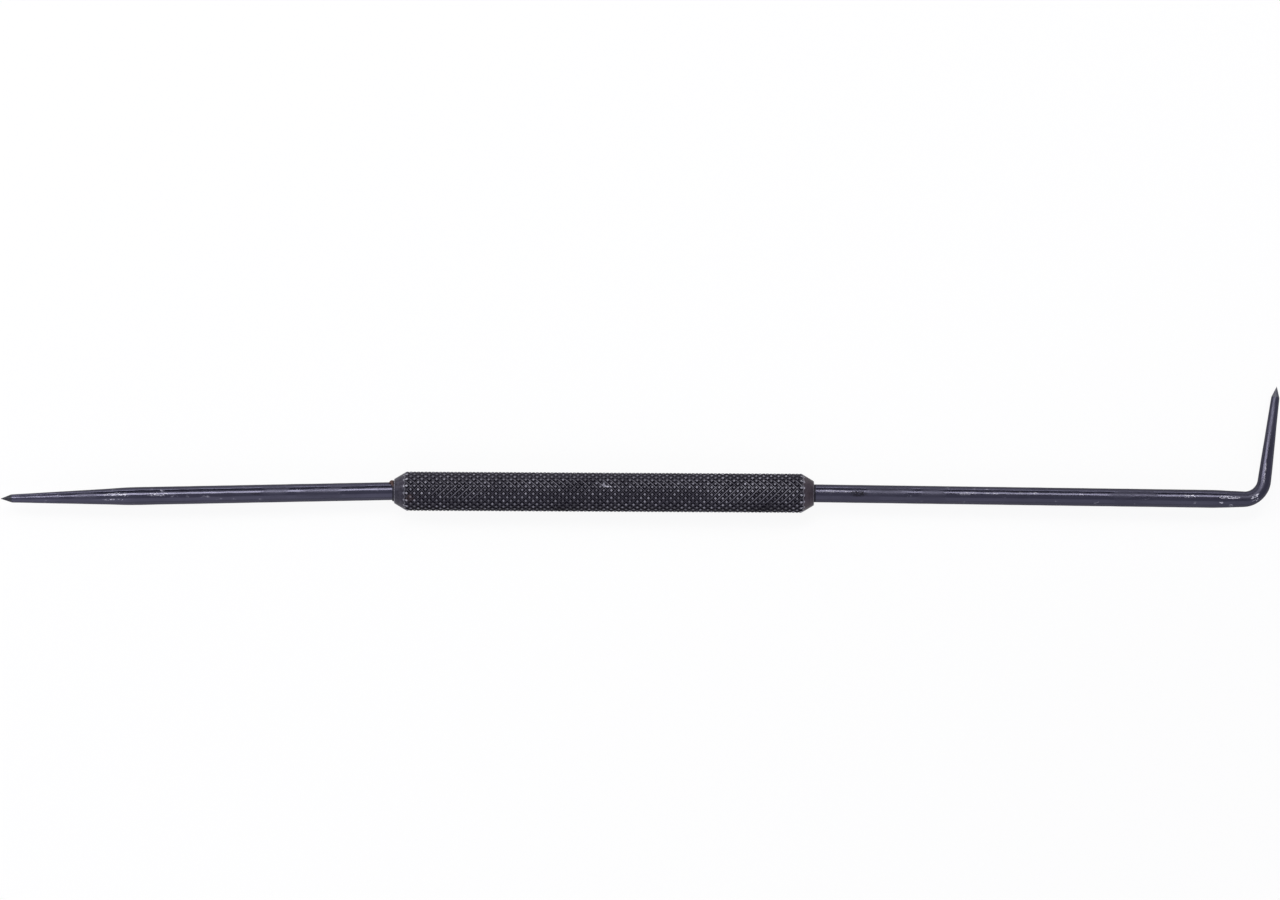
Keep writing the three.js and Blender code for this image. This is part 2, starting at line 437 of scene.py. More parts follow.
def knurled_bar_mesh(grip):
    """The knurled bar, longer than the grip, with its mesh lines along the two families of grooves.

    A point's coordinates u and v count the grooves of each hand that have been crossed, so
    u + v runs along the bar and u - v runs round it.
    """
    shares, heights = np.array(diamond_profile(grip)).T
    per_cell = shares.size
    spare_cells = 2
    half = per_cell * (math.ceil(grip.length / grip.pitch) + spare_cells)
    rows = per_cell * grip.starts
    row = np.arange(rows)[:, None]
    column = np.arange(2 * half + 1)[None, :]
    u_line = column - half - row
    v_line = np.broadcast_to(row, u_line.shape)
    u_cell, u_part = np.divmod(u_line, per_cell)
    v_cell, v_part = np.divmod(v_line, per_cell)
    u = u_cell + shares[u_part]
    v = v_cell + shares[v_part]
    height = np.minimum(heights[u_part], heights[v_part])

    # each top is rubbed down by its own share of the depth, and at its own slight tilt
    most_rub = 0.08
    tilt = 0.1
    rng = np.random.default_rng(seed=7)
    along_cell = u_cell + v_cell
    along_cell = along_cell - along_cell.min()
    round_cell = (u_cell - v_cell) % (2 * grip.starts)
    size = (along_cell.max() + 1, 2 * grip.starts)
    rub = rng.uniform(0.0, most_rub, size)[along_cell, round_cell]
    tilt_u = rng.normal(0.0, tilt, size)[along_cell, round_cell]
    tilt_v = rng.normal(0.0, tilt, size)[along_cell, round_cell]
    limit = 1 - rub + tilt_u * (shares[u_part] - 0.5) + tilt_v * (shares[v_part] - 0.5)
    height = np.minimum(height, np.minimum(limit, 1.0))

    radius = grip.diameter / 2 - grip.depth * (1 - height)
    x = grip.pitch * (u + v) / 2
    points = about_axis(x, radius, math.pi * (u - v) / grip.starts).reshape(-1, 3)

    # each face lies between two lines of one family and two of the other, and a fan closes each end
    columns = column.size
    starts = np.arange(rows) * columns
    next_starts = np.roll(starts, -1)
    first = starts[:, None] + np.arange(columns - 2)
    after = next_starts[:, None] + np.arange(columns - 2)
    quads = np.stack([first, first + 1, after + 2, after + 1], axis=-1).reshape(-1, 4)
    fans = []
    for outer, inner, turn in ((0, 1, -1), (columns - 2, columns - 1, 1)):
        loop = np.stack([starts + outer, next_starts + inner], axis=-1).ravel()
        middle = np.full(loop.size, points.shape[0] + len(fans))
        fans.append(np.stack([middle, loop, np.roll(loop, turn)], axis=-1))
    reach = np.abs(x).max()
    points = np.vstack([points, [-reach, 0, 0], [reach, 0, 0]])
    return mesh_from("knurled_bar", points, [quads, *fans])


def chamfer_length(grip):
    """Along the axis, from the end face to where the chamfer meets the tops of the knurl."""
    return (grip.diameter - grip.rim_diameter) / 2 / math.tan(grip.chamfer_angle)


def envelope_mesh(grip):
    """What the turned ends leave of the bar: rounded rims and long chamfers."""
    half = grip.length / 2
    rim = grip.rim_diameter / 2
    clear = grip.diameter / 2 + grip.depth
    rounding = grip.rim_rounding
    centre_radius = rim - rounding * math.tan(math.pi / 4 - grip.chamfer_angle / 2)
    end = [(half, rim - 2 * rounding)]
    steps = 6
    for i in range(steps + 1):
        angle = i / steps * (math.pi / 2 - grip.chamfer_angle)
        x = half - rounding + rounding * math.cos(angle)
        end.append((x, centre_radius + rounding * math.sin(angle)))
    end.append((half - (clear - rim) / math.tan(grip.chamfer_angle), clear))
    profile = [(-x, radius) for x, radius in end] + end[::-1]
    return tube_mesh("envelope", turned_rings(profile, sides=256))


def hole_mesh(needles, matrix):
    """The drill's shape along a needle, with the mouth's edge broken."""
    radius = needles.diameter / 2 + needles.press_clearance
    broken_edge = 0.05 * MM
    room_past_needle = 0.3 * MM
    drill_half_angle = math.radians(59)
    drill_tip = 0.02 * MM
    outside = 2 * MM
    floor = -(needles.press_depth + room_past_needle)
    profile = [
        (floor - radius / math.tan(drill_half_angle), drill_tip),
        (floor, radius),
        (-broken_edge, radius),
        (broken_edge, radius + 2 * broken_edge),
        (outside, radius + 2 * broken_edge),
    ]
    mesh = tube_mesh("hole", turned_rings(profile, sides=96))
    mesh.transform(matrix)
    return mesh


def grip_mesh(scene):
    grip = scene.scriber_grip
    needles = scene.scriber_needles
    to_grip = grip_frame(scene).inverted()
    steps = [
        ("INTERSECT", envelope_mesh(grip)),
        ("DIFFERENCE", hole_mesh(needles, to_grip @ straight_frame(scene))),
        ("DIFFERENCE", hole_mesh(needles, to_grip @ bent_frame(scene))),
    ]
    bar = knurled_bar_mesh(grip)
    bar.transform(Matrix.Rotation(knurl_turn(scene), 4, "X"))
    mesh = cut(bar, steps)
    mesh.name = "knurled_grip"
    mesh.shade_smooth()
    sharpest_smooth = math.radians(38)
    mesh.set_sharp_from_angle(angle=sharpest_smooth)
    mark_own_place(mesh, positions(mesh))
    return mesh


# The needles


def uneven(rng, along, around, wavelength, lobes):
    """Smooth unevenness about 1 high: long waves along a needle, with few to many lobes round it."""
    total = np.zeros(np.broadcast(along, around).shape)
    waves = 24
    for _ in range(waves):
        length = wavelength * rng.uniform(0.6, 1.8)
        lobe = rng.integers(*lobes)
        phase, turn = rng.uniform(0, 2 * math.pi, 2)
        total += np.sin(2 * math.pi * along / length + phase) * np.cos(lobe * around + turn) / lobe
    return total


def smooth_least(a, b, softness):
    """The lesser of two lengths, with the corner between them rounded."""
    least = np.minimum(a, b)
    return least - softness * np.log(np.exp((least - a) / softness) + np.exp((least - b) / softness))


def hump(x, centre, spread):
    """1 at centre, and smoothly down to 0 on both sides."""
    return np.exp(-(((x - centre) / spread) ** 2))


def needle_places(needles, length, taper, dense):
    """Where the rings of a needle lie along it: closer where its shape changes faster."""
    before_taper = length - taper - 6 * MM
    before_point = length - 3.2 * MM
    tip = length - 0.02 * MM
    spans = [
        (needles.lead_in - needles.press_depth, 0.0, 2.0 * MM),
        (0.0, before_taper, 0.5 * MM),
        (before_taper, before_point, 0.25 * MM),
        (before_point, tip, 0.06 * MM),
    ]
    places = [tip]
    for low, high, step in spans:
        places = np.append(places, np.linspace(low, high, round((high - low) / step), endpoint=False))
    if dense:
        low, high = dense
        places = places[(places < low) | (places > high)]
        places = np.append(places, np.linspace(low, high, round((high - low) / (0.1 * MM))))
    return np.sort(places)


def needle_rings(needles, length, taper, seed, dense=None):
    """Rings of a needle while it is still straight, from its pressed end to its point."""
    rng = np.random.default_rng(seed)
    full = needles.diameter / 2
    shoulder = needles.shoulder / 2
    slope = math.tan(needles.point_angle / 2)
    shoulder_at = length - shoulder / slope
    x = needle_places(needles, length, taper, dense)[:, None]
    sides = 80
    angle = full_circle(sides)[None, :]

    # it swells a little where the taper starts, and is slightly uneven outside the grip
    tapered = shoulder + (full - shoulder) * (shoulder_at - x) / taper
    body = smooth_least(np.full_like(tapered, full), tapered, softness=0.03 * MM)
    body = body + 0.035 * MM * hump(x, shoulder_at - 0.93 * taper, spread=3 * MM)
    fade_in = 8 * MM
    outside_grip = np.clip(x / (3 * MM), 0, 1)
    on_taper = np.clip((x - (shoulder_at - taper - fade_in)) / fade_in, 0, 1)
    body = body + 0.008 * MM * outside_grip * uneven(rng, x, angle, wavelength=5 * MM, lobes=(3, 12))
    body = body + 0.004 * MM * on_taper * uneven(rng, x, angle, wavelength=9 * MM, lobes=(2, 5))

    # the point was ground by hand, in narrow flats that are lower in their middles than at their edges
    flats = 9
    middle_share = 0.955
    edge_rise = 0.9
    facing = (np.arange(flats) + rng.uniform(-0.25, 0.25, flats)) / flats * 2 * math.pi
    nearest = np.max(np.cos(least_turn(angle[..., None], facing)), axis=-1)
    point = (length - x) * slope * (middle_share + edge_rise * (1 - nearest))
    rings = about_axis(x, np.minimum(body, point), angle)

    # the pressed end is flat, with a lead-in chamfer
    end = rings[:1].copy()
    end[..., 0] = -needles.press_depth
    end[..., 1:] *= 1 - needles.lead_in / full
    return np.concatenate([end, rings])


def bend(needles):
    """Where the bend starts along the bent needle, how long it is, and the needle's straight length."""
    to_corner = needles.bend_radius * math.tan(needles.hook_angle / 2)
    start = needles.bent_reach - to_corner
    arc = needles.bend_radius * needles.hook_angle
    return start, arc, start + arc + needles.hook_length - to_corner


def bent_rings(needles, rings, start, arc):
    """Bends what lies past start round an arc towards +Y, and flattens the outside of the bend a little."""
    x, y, z = rings[..., 0], rings[..., 1].copy(), rings[..., 2]
    squeeze = 0.07 * hump(x, start + arc / 2, spread=2.6 * MM)
    y = np.where(y < 0, y * (1 - squeeze), y)
    along = np.maximum(x - start, 0)
    turn = np.minimum(along, arc) / needles.bend_radius
    beyond = np.maximum(along - arc, 0)
    inwards = needles.bend_radius - y
    bent_x = start + inwards * np.sin(turn) + beyond * np.cos(turn)
    bent_y = needles.bend_radius - inwards * np.cos(turn) + beyond * np.sin(turn)
    return np.stack([np.where(x > start, bent_x, x), np.where(x > start, bent_y, y), z], axis=-1)


def needle_mesh(name, blank, shaped):
    mesh = tube_mesh(name, shaped)
    ends = np.stack([blank[0].mean(axis=0), blank[-1].mean(axis=0)])
    mesh.shade_smooth()
    mark_own_place(mesh, np.vstack([blank.reshape(-1, 3), ends]))
    return mesh


# The dirt at the straight needle's mouth


def crust_mesh(name, needles, lumps, seed):
    """A ragged ring of dirt round a needle at its mouth. lumps is a list of (angle, height, width)."""
    rng = np.random.default_rng(seed)
    steps = 160
    sides = 24
    around = full_circle(steps)[:, None]
    section = full_circle(sides)[None, :]
    height = 0.015 * MM
    width = 0.03 * MM
    for angle, lump_height, lump_width in lumps:
        turn = least_turn(around, angle)
        height = height + lump_height * hump(turn, 0, spread=0.42)
        width = width + lump_width * hump(turn, 0, spread=0.5)
    rough = 1 + 0.09 * uneven(rng, around, section, wavelength=0.5, lobes=(1, 4))
    rough = rough + 0.05 * uneven(rng, around, section, wavelength=0.2, lobes=(2, 6))
    radius = needles.diameter / 2 + height * np.sin(section) * rough
    points = about_axis(width * (1 + np.cos(section) * rough), radius, around).reshape(-1, 3)
    mesh = mesh_from(name, points, [quads_between(steps, sides, closed=True)])
    mesh.shade_smooth()
    mark_own_place(mesh, points)
    return mesh


# Finishes: shader maths as expressions


class Wire:
    """A number, colour or vector in a finish. Arithmetic on a number adds Math nodes."""

    def __init__(self, finish, socket):
        self.finish = finish
        self.socket = socket

    def math(self, operation, *values):
        return self.finish.node("ShaderNodeMath", {"operation": operation}, dict(enumerate(values)))

    def __add__(self, other):
        return self.math("ADD", self, other)

    def __sub__(self, other):
        return self.math("SUBTRACT", self, other)

    def __rsub__(self, other):
        return self.math("SUBTRACT", other, self)

    def __mul__(self, other):
        return self.math("MULTIPLY", self, other)

    def __truediv__(self, other):
        return self.math("DIVIDE", self, other)

    def __rtruediv__(self, other):
        return self.math("DIVIDE", other, self)

    def __mod__(self, other):
        return self.math("FLOORED_MODULO", self, other)

    def __pow__(self, other):
        return self.math("POWER", self, other)

    def __abs__(self):
        return self.math("ABSOLUTE", self)

    __radd__ = __add__
    __rmul__ = __mul__

    def least(self, other):
        return self.math("MINIMUM", self, other)

    def most(self, other):
        return self.math("MAXIMUM", self, other)

    def floor(self):
        return self.math("FLOOR", self)

    def rise(self, low, high):
        """0 below low, 1 above high and smooth between. Falls instead where high is the lesser."""
        if high < low:
            return 1 - self.rise(high, low)
        settings = {"interpolation_type": "SMOOTHSTEP"}
        inputs = {"Value": self, "From Min": low, "From Max": high}
        return self.finish.node("ShaderNodeMapRange", settings, inputs)

    def between(self, none_before, full_from, full_to, none_past):
        """1 between the middle two of these, 0 outside the outer two, and smooth in the gaps."""
        return self.rise(none_before, full_from) * self.rise(none_past, full_to)


class Finish:
    """A material being made. One method adds any node, and the others are short ways to call it."""

    def __init__(self, name):
        self.material = bpy.data.materials.new(name)
        self.material.use_nodes = True
        self.tree = self.material.node_tree
        self.tree.nodes.clear()

    @staticmethod
    def socket(sockets, key):
        if isinstance(key, int):
            return sockets[key]
        return next(s for s in sockets if key in (s.identifier, s.name))

    def node(self, kind, settings=None, inputs=None, output=0):
        """Adds a node: its settings first, and then the values or links of its sockets."""
        node = self.tree.nodes.new(kind)
        for name, value in (settings or {}).items():
            setattr(node, name, value)
        for key, value in (inputs or {}).items():
            socket = self.socket(node.inputs, key)
            if isinstance(value, Wire):
                self.tree.links.new(value.socket, socket)
            elif socket.type == "RGBA":
                socket.default_value = (*value, 1.0)
            else:
                socket.default_value = value
        return Wire(self, self.socket(node.outputs, output)) if node.outputs else None

    def own_place(self):
        """The point's place in its piece's own frame, in millimetres."""
        return self.node("ShaderNodeAttribute", {"attribute_name": "own_place"}, output="Vector")

    def parts(self, vector):
        """The three numbers of a vector."""
        split = self.node("ShaderNodeSeparateXYZ", inputs={"Vector": vector})
        outputs = split.socket.node.outputs
        return [Wire(self, outputs[i]) for i in range(3)]

    def joined(self, x, y, z):
        return self.node("ShaderNodeCombineXYZ", inputs={"X": x, "Y": y, "Z": z})

    def scaled(self, vector, scale):
        settings = {"operation": "MULTIPLY"}
        return self.node("ShaderNodeVectorMath", settings, {0: vector, 1: scale})

    def distance(self, vector, point):
        settings = {"operation": "DISTANCE"}
        return self.node("ShaderNodeVectorMath", settings, {0: vector, 1: point}, "Value")

    def oval(self, place, centre, length, width):
        """1 inside an oval that is long along X, and 0 outside it."""
        squash = Vector((width / length, 1.0, 1.0))
        off_centre = self.distance(self.scaled(place, squash), centre * squash)
        return off_centre.rise(width * 0.6, width * 0.3)

    def noise(self, vector, scale, detail=3.0, roughness=0.55):
        inputs = {"Vector": vector, "Scale": scale, "Detail": detail, "Roughness": roughness}
        return self.node("ShaderNodeTexNoise", inputs=inputs)

    def scatter(self, vector):
        """A number from 0 to 1 for each whole-numbered vector."""
        return self.node("ShaderNodeTexWhiteNoise", {"noise_dimensions": "3D"}, {"Vector": vector})

    def blend(self, factor, first, second, how="MIX"):
        settings = {"data_type": "RGBA", "blend_type": how, "clamp_factor": True}
        inputs = {"Factor_Float": factor, "A_Color": first, "B_Color": second}
        return self.node("ShaderNodeMix", settings, inputs, "Result_Color")

    def tinted(self, colour, amount):
        """A colour made lighter or darker by a number that varies."""
        return self.blend(1.0, colour, self.joined(amount, amount, amount), "MULTIPLY")

    def bump(self, height, distance, strength=1.0):
        inputs = {"Height": height, "Distance": distance, "Strength": strength}
        return self.node("ShaderNodeBump", inputs=inputs, output="Normal")

    def surface(self, colour, roughness, metallic, normal, edge=(1.0, 1.0, 1.0)):
        inputs = {"Base Color": colour, "Roughness": roughness, "Metallic": metallic, "Normal": normal}
        inputs["Specular Tint"] = edge
        return self.made_of(self.node("ShaderNodeBsdfPrincipled", inputs=inputs))

    def made_of(self, shader):
        self.node("ShaderNodeOutputMaterial", inputs={"Surface": shader})
        return self.material


def grip_finish(scene):
    """Blackened steel: bright worn tops and cut edges, dark flanks, turning marks and a little rust."""
    grip = scene.scriber_grip
    colours = scene.scriber_finish
    finish = Finish("knurled_blackened_steel")
    place = finish.own_place()
    x, y, z = finish.parts(place)
    radius = (y * y + z * z) ** 0.5
    angle = z.math("ARCTAN2", z, y) - knurl_turn(scene)
    right_half = x.rise(0.0, 1.0)
    peak = grip.diameter / 2 / MM
    depth = grip.depth / MM
    half = grip.length / 2 / MM

    patches = finish.noise(place, 0.16, detail=2.0)
    gaps = finish.noise(place, 0.3, detail=2.0).rise(0.36, 0.48)
    speckle = finish.noise(place, 9.0)
    mottle = finish.noise(place, 3.2, detail=4.0, roughness=0.62)
    blotches = finish.noise(place, 1.6, roughness=0.6) - 0.5
    rust_grain = finish.noise(place, 2.6, detail=4.0, roughness=0.65)

    def spot(pixel, full_to, none_past):
        """1 up to full_to millimetres from the point that a pixel shows, and 0 past none_past."""
        return finish.distance(place, seen_on_grip(scene, pixel) / MM).rise(none_past, full_to)

    # the two families of grooves, as in the mesh
    along = x / (grip.pitch / MM)
    around = angle * (grip.starts / (2 * math.pi))
    u = along + around
    v = along - around
    off_u = abs(u % 1.0 - 0.5)
    off_v = abs(v % 1.0 - 0.5)
    off_middle = off_u.most(off_v)
    top_edge = grip.top_share / 2
    floor_edge = 0.5 - grip.floor_share / 2
    height = (floor_edge - off_middle) / (floor_edge - top_edge)
    knurl_radius = peak - depth + depth * height.least(1.0).most(0.0)

    # each diamond's top is worn by its own luck, and in patches
    cell = finish.joined(u.floor() + v.floor(), (u.floor() - v.floor()) % (2.0 * grip.starts), 0.0)
    luck = finish.scatter(cell)
    wear = (luck**1.3 * 0.55 + 0.38) * patches.rise(0.2, 0.55)
    top = off_middle.rise(top_edge + 0.205, top_edge + 0.055) * radius.rise(peak - 0.16, peak - 0.08)
    worn_top = top * wear * speckle.rise(0.2, 0.5)

    # the flanks are darkened with oily dirt and painted shade
    knurled = abs(knurl_radius - radius).rise(0.12, 0.07)
    flank = knurled * height.rise(0.0, 0.12) * height.rise(1.0, 0.86)

    # the bottoms of the grooves are burnished a little everywhere, and painted highlights brighten one
    # family near both ends and the other above the middle, where the strip light would catch them
    lean = 0.04 * (x + 33.0)
    highlit_left = x.between(*HIGHLIT_LINES_NEAR_LEFT) * (angle - lean).rise(1.85, 1.6)
    highlit_right = x.between(*HIGHLIT_LINES_NEAR_RIGHT) * angle.rise(2.2, 1.9)
    highlit_u = angle.rise(1.06, 1.16) * highlit_left.most(highlit_right)
    highlit_v = angle.between(*HIGHLIT_LINES_ABOVE_MIDDLE) * gaps * (0.4 + 0.6 * x.rise(-27.0, -22.5))
    faint = 0.12
    line_u = (0.5 - off_u).rise(0.1, 0.035) * (faint + (1.0 - faint) * highlit_u)
    line_v = (0.5 - off_v).rise(0.1, 0.035) * (faint + (1.0 - faint) * highlit_v)
    burnished_and_highlit = knurled * line_u.most(line_v) * speckle.rise(0.15, 0.4)

    # the chamfers and the rims leave bright edges
    chamfer_top = half - chamfer_length(grip) / MM
    envelope = peak - (abs(x) - chamfer_top) * math.tan(grip.chamfer_angle)
    off_edge = (knurl_radius - radius).most(0.0) + (envelope - radius).most(0.0)
    cut_edge = off_edge.rise(0.12, 0.02) * speckle.rise(0.25, 0.5)
    off_rim = abs(radius - grip.rim_diameter / 2 / MM) + abs(half - abs(x))
    rim_edge = off_rim.rise(0.3, 0.12) * speckle.rise(0.35, 0.6)
    bright = (cut_edge * 0.42).most(rim_edge * (0.45 - 0.25 * right_half))

    # a crooked scratch across tops and grooves, the brightest of the worn tops with painted highlights on
    # the tops near the right end, and a pit
    raised = finish.joined(x, y / radius * peak, z / radius * peak)
    for pixel in PHOTO_SCRATCH_ON_KNURL:
        scratch = finish.oval(raised, seen_on_grip(scene, pixel) / MM, length=0.62, width=0.36)
        bright = bright.most(scratch * speckle.rise(0.25, 0.45) * 0.5)
    bright = bright.most(worn_top * (0.23 * highlit_right + 0.08 * luck.rise(0.7, 0.9)))
    pit = spot(PHOTO_PIT_ON_KNURL, 0.25, 0.5)

    # the chamfers are turned, and the one by the bent needle shows the tool's marks
    turned = (knurl_radius - radius).rise(0.0, 0.05) * abs(x).rise(chamfer_top - 0.3, chamfer_top)
    rings = finish.noise(finish.joined(x * 9.0, angle * 0.25, 0.0), 1.0, detail=2.0)
    ridges = rings * turned * right_half

    # two spots of rust
    rust = (spot(PHOTO_RUST_ON_KNURL, 0.2, 1.3) * 0.6).most(spot(PHOTO_RUST_ON_CHAMFER, 0.3, 1.6) * 0.5)
    rust = rust * rust_grain.rise(0.35, 0.6)

    # the colours lie over each other, from the steel's to the rust's
    light = 0.72 + 0.5 * patches + 0.25 * (mottle - 0.5)
    base = finish.tinted(colours.blackened, light + turned * (0.3 + blotches * 2.2))
    tinge = finish.tinted(colours.tinged, 1.0 + blotches + 0.9 * (rings - 0.5))
    base = finish.blend(turned * right_half, base, tinge)
    # oily dirt and painted shade on the flanks, lighter on the hook's side, where more light falls
    flank_dirt_and_shade = 0.3 + 0.7 * mottle.rise(0.38, 0.5) + 0.2 * highlit_right
    flank_dirt_and_shade = flank_dirt_and_shade * (1.0 - 0.4 * angle.rise(0.85, 0.35))
    base = finish.blend((flank * flank_dirt_and_shade).most(pit), base, colours.grime_and_shade)
    # worn tops, and the burnished lines with their painted highlights
    worn_and_highlit = worn_top.most(burnished_and_highlit * (0.54 + 0.14 * highlit_right)) * (1.0 - pit)
    base = finish.blend(worn_and_highlit, base, colours.worn_and_highlit)
    base = finish.blend(bright, base, colours.bare)
    base = finish.blend(rust * 0.75, base, finish.tinted(colours.rust, 0.7 + worn_and_highlit * 1.4))
    roughness = 0.46 + 0.12 * (mottle - 0.5) + turned * 0.05 + worn_and_highlit * 0.24
    metallic = 1.0 - (0.5 * rust).most(0.65 * worn_and_highlit)
    normal = finish.bump(mottle * 0.35 + ridges * 0.9, 0.02 * MM, strength=0.8)
    return finish.surface(base, roughness, metallic, normal)


class NeedleLook(NamedTuple):
    """How one needle's finish differs from the other's. The end part runs from end_from to the point."""

    scratches: tuple
    stain: tuple
    end_from: float
    roughness: float
    end_roughness: float
    near_point_roughness: float
    shank_light: float
    taper_light: float
    ground_light: float


def needle_finish(scene, name, needle_frame, length, taper, look):
    """Blued drawn steel: fine lengthwise marks, matte patches, bright scratches and a ground point."""
    colours = scene.scriber_finish
    needles = scene.scriber_needles
    finish = Finish(name)
    place = finish.own_place()
    x, _, _ = finish.parts(place)
    full = needles.diameter / 2 / MM
    shoulder = needles.shoulder / 2 / MM
    shoulder_at = length / MM - shoulder / math.tan(needles.point_angle / 2)
    taper_from = shoulder_at - taper / MM
    end_from = look.end_from / MM

    def streaks(along, across, scale, detail=3.0, roughness=0.6):
        """Noise with a scale of its own along the needle and across it."""
        return finish.noise(finish.scaled(place, (along, across, across)), scale, detail, roughness)

    def mark(along, across, long, wide):
        """An oval on the upper side, at a place along the needle and across it."""
        radius = min(full, shoulder + (full - shoulder) * (shoulder_at - along) / (taper / MM))
        return finish.oval(place, on_needle(needle_frame, radius, along, across), long, wide)

    drawn = streaks(0.10, 2.4, 2.2, detail=4.0)
    fine = streaks(0.35, 6.0, 2.0)
    patches = streaks(0.09, 0.5, 1.0, roughness=0.5)
    cross = streaks(7.0, 1.2, 1.5)
    grain = finish.noise(place, 5.5, roughness=0.6)

    # the scratches are curly, and lie where the photograph shows them and in a few patches more
    scratched = streaks(0.45, 1.1, 1.0, detail=2.0, roughness=0.5).rise(0.66, 0.74) * 0.3
    for along, across, long, wide, strength in look.scratches:
        scratched = scratched.most(mark(along, across, long, wide) * strength)
    curls = abs(streaks(0.7, 2.0, 1.2, detail=2.0, roughness=0.55) - 0.5).rise(0.055, 0.015)
    flecks = curls * scratched * grain.rise(0.38, 0.52)

    ground = x.rise(shoulder_at - 0.05, shoulder_at + 0.05)
    near_point = x.rise(shoulder_at - 10.0, shoulder_at - 6.0) * (1.0 - ground)
    end_part = x.rise(end_from - 2.0, end_from + 2.0) * (1.0 - ground)
    matte = streaks(0.14, 0.3, 1.0, detail=2.0, roughness=0.55).rise(0.52, 0.62) * (1.0 - end_part)
    # the needle is darker where it enters the grip: oily dirt and painted shade
    mouth = x.rise(0.44, 0.24) * (0.6 + 0.4 * grain.rise(0.3, 0.6))
    dirt_and_mouth_shade = mouth.most(mark(*look.stain) * grain.rise(0.6, 0.5))

    taper_gain = look.taper_light - look.shank_light
    light = look.shank_light + taper_gain * x.rise(taper_from - 2.0, taper_from + 3.0)
    light = light + 0.36 * patches + 0.3 * (drawn - 0.5) + 0.2 * (fine - 0.5) + 0.15 * near_point
    base = finish.blend(flecks, finish.tinted(colours.blued, light), colours.bare)
    ground_colour = finish.tinted(colours.ground, look.ground_light * (0.75 + 0.5 * cross))
    base = finish.blend(ground, base, ground_colour)
    base = finish.blend(dirt_and_mouth_shade * 0.92, base, colours.grime_and_shade)
    roughness = look.roughness + 0.18 * matte + 0.08 * (fine - 0.5) + ground * 0.2 + dirt_and_mouth_shade * 0.3
    roughness = roughness + end_part * look.end_roughness + near_point * look.near_point_roughness
    roughness = roughness + flecks * 0.12
    marks = drawn * 0.5 + fine * 0.3 + flecks * 1.2 + ground * cross * 0.8
    normal = finish.bump(marks + grain * (0.12 + 0.6 * near_point), 0.012 * MM, strength=0.7)
    metallic = 1.0 - (dirt_and_mouth_shade * 0.4).most(flecks * 0.6)
    return finish.surface(base, roughness, metallic, normal, BLUED_EDGE)


def crust_finish(scene):
    """Rust over oily dirt: rust on the hook's side of the needle, and black dirt on the other."""
    colours = scene.scriber_finish
    finish = Finish("rusty_dirt")
    place = finish.own_place()
    _, y, _ = finish.parts(place)
    grain = finish.noise(place, 4.0, detail=5.0, roughness=0.65)
    rusty = (y + (grain - 0.5) * 1.4).rise(-0.2, -1.2)
    base = finish.blend(rusty * grain.rise(0.32, 0.58), colours.grime_and_shade, colours.rust)
    normal = finish.bump(grain, 0.05 * MM)
    return finish.surface(base, 0.62 + 0.25 * grain, 0.0, normal)


# Operators, one for each piece and one for the stage


class SCRIBER_OT_grip(bpy.types.Operator):
    """Make the knurled grip with its chamfered ends and drilled holes"""

    bl_idname = "scriber.grip"
    bl_label = "Knurled Grip"

    def execute(self, context):
        scene = context.scene
        mesh = grip_mesh(scene)
        add_piece("knurled_grip", mesh, grip_frame(scene), grip_finish(scene), "blackened_steel", "grip")
        return {"FINISHED"}


class SCRIBER_OT_straight_needle(bpy.types.Operator):
    """Make the straight needle, tapered to a ground point"""

    bl_idname = "scriber.straight_needle"
    bl_label = "Straight Needle"

    def execute(self, context):
        scene = context.scene
        needles = scene.scriber_needles
        length = needles.straight_reach
        taper = needles.straight_taper
        needle_frame = straight_frame(scene)
        rings = needle_rings(needles, length, taper, seed=11)
        mesh = needle_mesh("tapered_straight_needle", rings, rings)
        look = NeedleLook(
            scratches=STRAIGHT_SCRATCHES,
            stain=STRAIGHT_STAIN,
            end_from=length - 10 * MM,
            roughness=0.19,
            end_roughness=0.05,
            near_point_roughness=0.04,
            shank_light=0.94,
            taper_light=1.1,
            ground_light=0.42,
        )
        finish = needle_finish(scene, "blued_straight_steel", needle_frame, length, taper, look)
        slot = "blued_needle_steel"
        add_piece("tapered_straight_needle", mesh, needle_frame, finish, slot, "straight_needle")
        return {"FINISHED"}


class SCRIBER_OT_bent_needle(bpy.types.Operator):
    """Make the needle whose tapered end is bent into a hook"""

    bl_idname = "scriber.bent_needle"
    bl_label = "Bent Needle"

    def execute(self, context):
        scene = context.scene
        needles = scene.scriber_needles
        start, arc, length = bend(needles)
        taper = needles.bent_taper
        needle_frame = bent_frame(scene)
        around_bend = (start - 1 * MM, start + arc + 1 * MM)
        rings = needle_rings(needles, length, taper, seed=23, dense=around_bend)
        mesh = needle_mesh("hooked_needle", rings, bent_rings(needles, rings, start, arc))
        look = NeedleLook(
            scratches=BENT_SCRATCHES,
            stain=BENT_STAIN,
            end_from=start + arc,
            roughness=0.24,
            end_roughness=-0.055,
            near_point_roughness=0.15,
            shank_light=0.84,
            taper_light=0.8,
            ground_light=0.85,
        )
        finish = needle_finish(scene, "blued_hooked_steel", needle_frame, length, taper, look)
        add_piece("hooked_needle", mesh, needle_frame, finish, "blued_needle_steel", "bent_needle")
        return {"FINISHED"}


